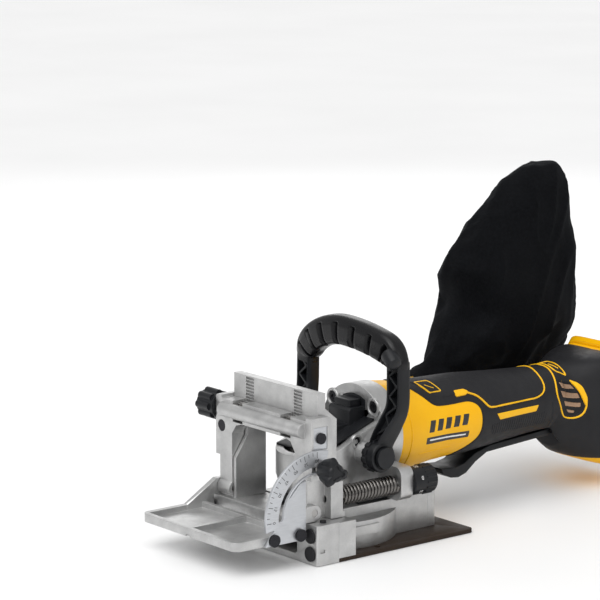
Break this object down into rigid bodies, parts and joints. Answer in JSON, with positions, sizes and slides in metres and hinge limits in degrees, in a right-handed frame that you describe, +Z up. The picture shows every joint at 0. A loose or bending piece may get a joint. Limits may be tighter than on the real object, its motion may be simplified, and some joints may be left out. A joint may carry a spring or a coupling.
{
  "type": "biscuit joiner",
  "caption": "Cordless plate joiner: plunging motor unit on a sliding base, height-geared tilting fence with a quadrant, bail handle, depth turret and dust bag.",
  "frame": {"origin": "on the sole's underside, straight below the blade spindle's axis when the motor unit is fully back", "axes": "+Z up, -Y the direction of cut (fence and blade slot in front), +Y to the battery end, +X to the side with the angle quadrant, spring and depth turret"},
  "size_m": [0.188, 0.454, 0.255],
  "materials": {
    "cast_aluminium": "bead-blasted, satin",
    "sole_steel": "satin",
    "steel": "satin",
    "black_steel": "blackened",
    "scale_plate": "satin",
    "black_plastic": "fine moulded grain",
    "yellow_plastic": "fine moulded grain",
    "soft_rubber": "matte",
    "bag_cloth": "woven",
    "copper": "enamelled wire",
    "board_green": "satin"
  },
  "bodies": {
    "base": {"front_shoe": "cast_aluminium", "blade_housing": "cast_aluminium", "rear_cap": "cast_aluminium", "sole_plate": "sole_steel", "sole_screws": "black_steel", "anti_slip_pads": "soft_rubber", "rack_upright": "cast_aluminium", "upright_feet": "cast_aluminium", "upright_screws": "black_steel", "depth_rod": "steel", "return_spring": "steel", "dust_port": "black_plastic", "bag_collar": "black_plastic", "dust_bag": "bag_cloth"},
    "fence_carriage": {"carriage": "cast_aluminium", "carriage_screws": "black_steel", "height_scale": "scale_plate", "hinge_pins": "steel", "clamp_stud": "steel"},
    "height_pinion": {"pinion_shaft": "steel", "height_knob": "black_plastic"},
    "fence": {"fence_plate": "cast_aluminium", "hinge_ears": "cast_aluminium", "angle_quadrant": "scale_plate", "quadrant_screws": "black_steel"},
    "clamp": {"clamp_knob": "black_plastic", "clamp_washer": "steel"},
    "motor_unit": {"slide_plate": "black_plastic", "slide_screws": "black_steel", "gear_case": "cast_aluminium", "gear_cover": "black_plastic", "flange_screws": "black_steel", "spindle_bearings": "steel", "motor_bearings": "steel", "housing_left": "yellow_plastic", "housing_right": "yellow_plastic", "housing_screws": "black_steel", "battery_dock": "black_plastic", "terminal_block": "black_plastic", "terminal_blades": "steel", "stator": "copper", "controller_board": "board_green", "switch_module": "black_plastic", "paddle_pin": "steel", "handle_bolts": "black_plastic"},
    "turret": {"depth_turret": "black_plastic"},
    "handle": {"handle_bail": "black_plastic", "handle_grip": "soft_rubber"},
    "paddle": {"paddle": "black_plastic"},
    "lock_off": {"lock_off_lever": "black_plastic"},
    "spindle_lock": {"spindle_lock_button": "black_plastic"},
    "spindle": {"spindle": "steel", "inner_flange": "steel", "clamp_nut": "steel", "blade": "steel", "bevel_gear": "steel"},
    "rotor": {"rotor_shaft": "steel", "rotor_magnet": "steel", "motor_fan": "black_plastic", "pinion_gear": "steel"}
  },
  "joints": [
    {"name": "plunge", "type": "slide", "parent": "base", "child": "motor_unit", "axis": [0, -1, 0], "range_m": [0, 0.025], "stiffness_N_per_m": 700, "springref_m": -0.02, "deforming": ["return_spring"]},
    {"name": "fence_height", "type": "slide", "parent": "base", "child": "fence_carriage", "axis": [0, 0, 1], "range_m": [0, 0.022]},
    {"name": "height_pinion_turn", "type": "hinge", "parent": "fence_carriage", "child": "height_pinion", "pos_m": [0, -0.0466, 0.098], "axis": [1, 0, 0], "range_deg": [-200, 5]},
    {"name": "fence_tilt", "type": "hinge", "parent": "fence_carriage", "child": "fence", "pos_m": [0, -0.05, 0.0375], "axis": [-1, 0, 0], "range_deg": [0, 90]},
    {"name": "clamp_turn", "type": "hinge", "parent": "fence_carriage", "child": "clamp", "pos_m": [0.07, -0.04586, 0.07125], "axis": [1, 0, 0], "range_deg": [-90, 90]},
    {"name": "depth_select", "type": "hinge", "parent": "motor_unit", "child": "turret", "pos_m": [0.0498, 0.058, 0.0445], "axis": [0, 1, 0], "continuous": true},
    {"name": "handle_tilt", "type": "hinge", "parent": "motor_unit", "child": "handle", "pos_m": [0, 0.0208, 0.068], "axis": [1, 0, 0], "range_deg": [-15, 25]},
    {"name": "paddle_squeeze", "type": "hinge", "parent": "motor_unit", "child": "paddle", "pos_m": [0, 0.234, 0.0515], "axis": [-1, 0, 0], "range_deg": [0, 3], "stiffness_Nm_per_rad": 2, "springref_deg": -2.86},
    {"name": "lock_off_push", "type": "hinge", "parent": "paddle", "child": "lock_off", "pos_m": [0, 0.1865, 0.046], "axis": [-1, 0, 0], "range_deg": [0, 8], "stiffness_Nm_per_rad": 0.05, "springref_deg": -5.73},
    {"name": "spindle_lock_push", "type": "slide", "parent": "motor_unit", "child": "spindle_lock", "axis": [0, 0, -1], "range_m": [0, 0.003], "stiffness_N_per_m": 300, "springref_m": -0.002},
    {"name": "spindle_spin", "type": "hinge", "parent": "motor_unit", "child": "spindle", "pos_m": [0, 0, 0.01], "axis": [0, 0, 1], "continuous": true},
    {"name": "rotor_spin", "type": "hinge", "parent": "motor_unit", "child": "rotor", "pos_m": [0, 0.06, 0.0755], "axis": [0, 1, 0], "continuous": true}
  ],
  "couplings": [
    {"joint": "height_pinion_turn", "follows": "fence_height", "rad_per_m": -156.25},
    {"joint": "rotor_spin", "follows": "spindle_spin", "ratio": 3}
  ]
}
